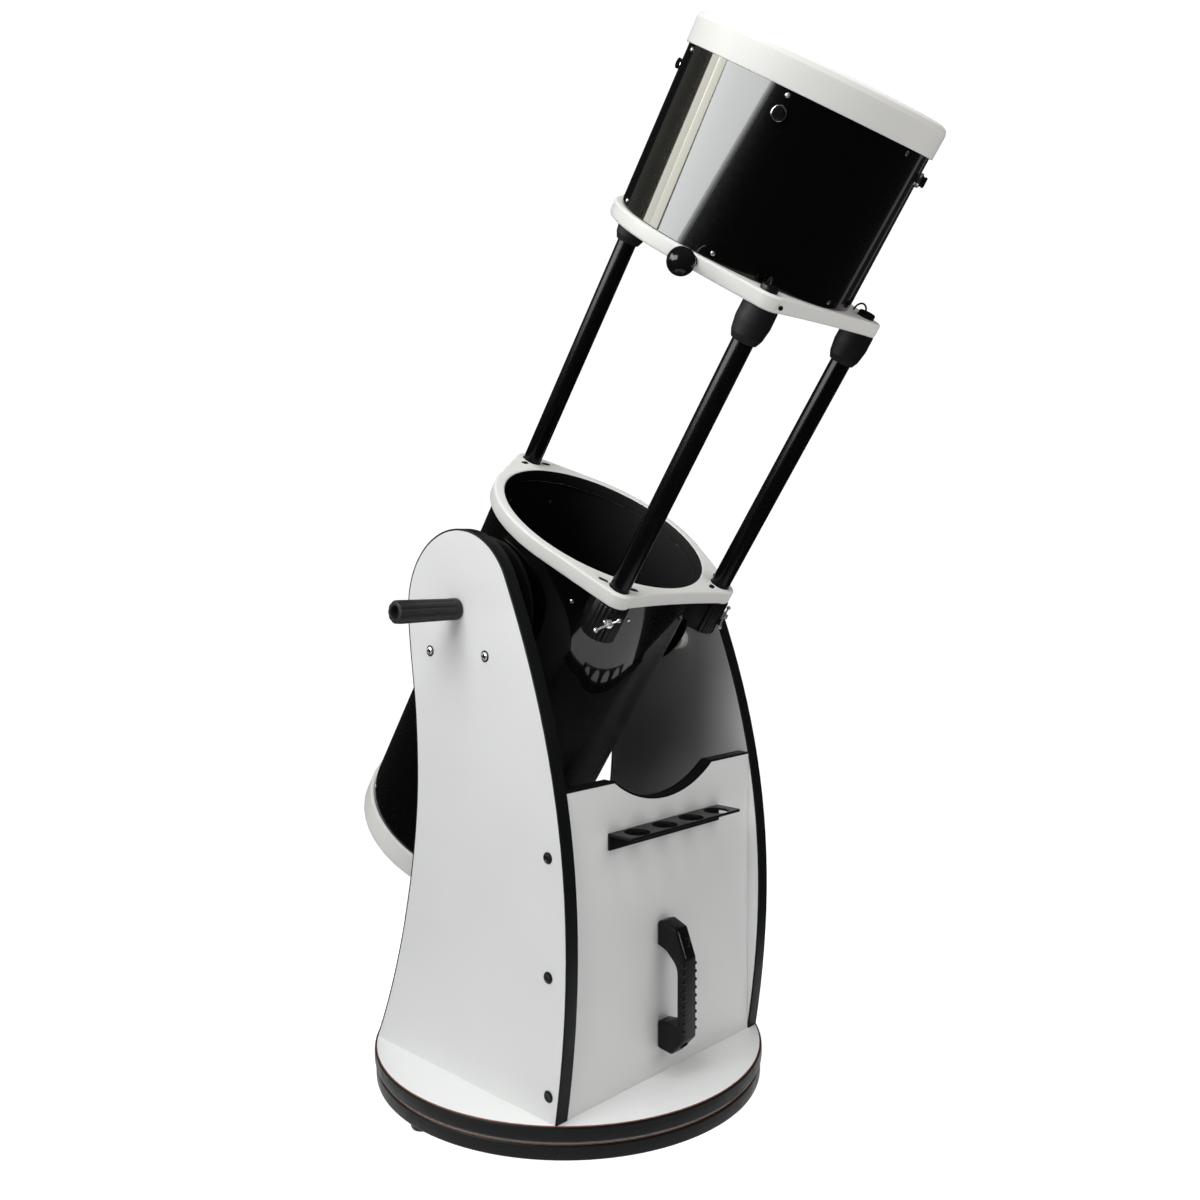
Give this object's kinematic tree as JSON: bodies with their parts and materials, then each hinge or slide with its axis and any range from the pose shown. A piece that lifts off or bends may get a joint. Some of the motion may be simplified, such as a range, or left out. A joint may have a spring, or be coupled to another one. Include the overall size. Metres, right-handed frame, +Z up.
{
  "type": "dobsonian telescope",
  "caption": "Collapsible truss-tube dobsonian: a reflector tube that tilts in a white rocker box on a round turning base, with sliding struts that carry the upper cage.",
  "frame": {"origin": "on the azimuth axis at the floor, under the end of the pivot bolt", "axes": "+Z up along the azimuth axis, +X along the altitude axis to the telescope's right hub, and the tube points up towards -Y"},
  "size_m": [0.564, 0.8617, 1.3041],
  "materials": {
    "laminate": "white melamine faced board, satin",
    "edging": "black moulded edge strip",
    "white_casting": "warm white paint on a casting, satin",
    "tube_paint": "gloss black with a fine metallic fleck",
    "black_plastic": "moulded, fine texture",
    "rubber": "matt",
    "strut_paint": "semi-gloss black",
    "chrome": "polished",
    "nylon": "natural white",
    "mirror_glass": "front aluminised glass",
    "steel": "zinc plated",
    "black_casting": "matt black paint on a casting"
  },
  "bodies": {
    "ground": {"ground_board": "laminate", "ground_board_edging": "edging", "foot_1": "black_plastic", "foot_2": "black_plastic", "foot_3": "black_plastic", "bearing_pad_1": "nylon", "bearing_pad_2": "nylon", "bearing_pad_3": "nylon", "azimuth_pivot_bolt": "steel", "azimuth_pivot_nut": "steel"},
    "rocker": {"turntable_board": "laminate", "turntable_board_edging": "edging", "side_panel_left": "laminate", "side_panel_right": "laminate", "side_edging_left": "edging", "side_edging_right": "edging", "front_panel": "laminate", "front_panel_edging": "edging", "eyepiece_rack": "black_plastic", "carry_handle": "black_plastic", "cradle_roller_left_front": "nylon", "cradle_roller_left_rear": "nylon", "cradle_roller_right_front": "nylon", "cradle_roller_right_rear": "nylon"},
    "tube": {"lower_tube": "tube_paint", "lower_end_ring": "white_casting", "lower_truss_ring": "white_casting", "altitude_hub_left": "black_casting", "altitude_hub_right": "black_casting", "strut_clamp_top": "black_casting", "strut_clamp_left": "black_casting", "strut_clamp_right": "black_casting", "mirror_cell": "black_casting", "primary_mirror": "mirror_glass"},
    "cage": {"upper_tube": "tube_paint", "upper_end_ring": "white_casting", "upper_truss_ring": "white_casting", "strut_top": "strut_paint", "strut_left": "strut_paint", "strut_right": "strut_paint", "strut_boot_top": "rubber", "strut_boot_left": "rubber", "strut_boot_right": "rubber", "spider": "black_casting", "secondary_holder": "black_casting", "secondary_mirror": "mirror_glass", "focuser_base": "black_plastic", "finder_shoe": "black_plastic", "guide_knob": "black_plastic"},
    "drawtube": {"drawtube": "black_casting"},
    "focus_knobs": {"focus_knobs": "black_plastic"},
    "eyepiece_lock": {"eyepiece_lock_screw": "chrome"},
    "clamp_lever_top": {"clamp_lever_top": "chrome"},
    "clamp_lever_left": {"clamp_lever_left": "chrome"},
    "clamp_lever_right": {"clamp_lever_right": "chrome"},
    "tension_handle_left": {"tension_handle_left": "black_plastic"},
    "tension_handle_right": {"tension_handle_right": "black_plastic"},
    "collimation_knob_1": {"collimation_knob_1": "black_plastic"},
    "collimation_knob_2": {"collimation_knob_2": "black_plastic"},
    "collimation_knob_3": {"collimation_knob_3": "black_plastic"}
  },
  "joints": [
    {"name": "azimuth_turn", "type": "hinge", "parent": "ground", "child": "rocker", "pos_m": [0, 0, 0.0425], "axis": [0, 0, 1], "continuous": true},
    {"name": "altitude_tilt", "type": "hinge", "parent": "rocker", "child": "tube", "pos_m": [0, 0, 0.638], "axis": [1, 0, 0], "range_deg": [-33.7, 56.2]},
    {"name": "truss_slide", "type": "slide", "parent": "tube", "child": "cage", "axis": [0, -0.5557, 0.8314], "range_m": [-0.3, 0]},
    {"name": "clamp_lever_top_turn", "type": "hinge", "parent": "tube", "child": "clamp_lever_top", "pos_m": [0, 0.11017, 0.81508], "axis": [0, 0.8314, 0.5557], "continuous": true},
    {"name": "clamp_lever_left_turn", "type": "hinge", "parent": "tube", "child": "clamp_lever_left", "pos_m": [-0.10934, -0.17697, 0.62315], "axis": [-0.5755, -0.6799, -0.4545], "continuous": true},
    {"name": "clamp_lever_right_turn", "type": "hinge", "parent": "tube", "child": "clamp_lever_right", "pos_m": [0.10934, -0.17697, 0.62315], "axis": [0.5755, -0.6799, -0.4545], "continuous": true},
    {"name": "tension_handle_left_turn", "type": "hinge", "parent": "tube", "child": "tension_handle_left", "pos_m": [-0.236, 0, 0.638], "axis": [-1, 0, 0], "continuous": true},
    {"name": "tension_handle_right_turn", "type": "hinge", "parent": "tube", "child": "tension_handle_right", "pos_m": [0.236, 0, 0.638], "axis": [1, 0, 0], "continuous": true},
    {"name": "collimation_knob_1_turn", "type": "hinge", "parent": "tube", "child": "collimation_knob_1", "pos_m": [0, 0.31016, 0.34494], "axis": [0, -0.5557, 0.8314], "continuous": true},
    {"name": "collimation_knob_2_turn", "type": "hinge", "parent": "tube", "child": "collimation_knob_2", "pos_m": [-0.08227, 0.19169, 0.26575], "axis": [0, -0.5557, 0.8314], "continuous": true},
    {"name": "collimation_knob_3_turn", "type": "hinge", "parent": "tube", "child": "collimation_knob_3", "pos_m": [0.08227, 0.19169, 0.26575], "axis": [0, -0.5557, 0.8314], "continuous": true},
    {"name": "focus_knob_turn", "type": "hinge", "parent": "cage", "child": "focus_knobs", "pos_m": [0.06593, -0.17776, 1.19758], "axis": [-0.9272, 0.3114, 0.2082], "range_deg": [0, 669]},
    {"name": "focus_slide", "type": "slide", "parent": "cage", "child": "drawtube", "axis": [0.3746, 0.7708, 0.5153], "range_m": [0, 0.035]},
    {"name": "eyepiece_lock_turn", "type": "hinge", "parent": "drawtube", "child": "eyepiece_lock", "pos_m": [0.04381, -0.15784, 1.25179], "axis": [-0.9272, 0.3114, 0.2082], "continuous": true}
  ],
  "couplings": [
    {"joint": "focus_knob_turn", "follows": "focus_slide", "rad_per_m": 333.33}
  ]
}
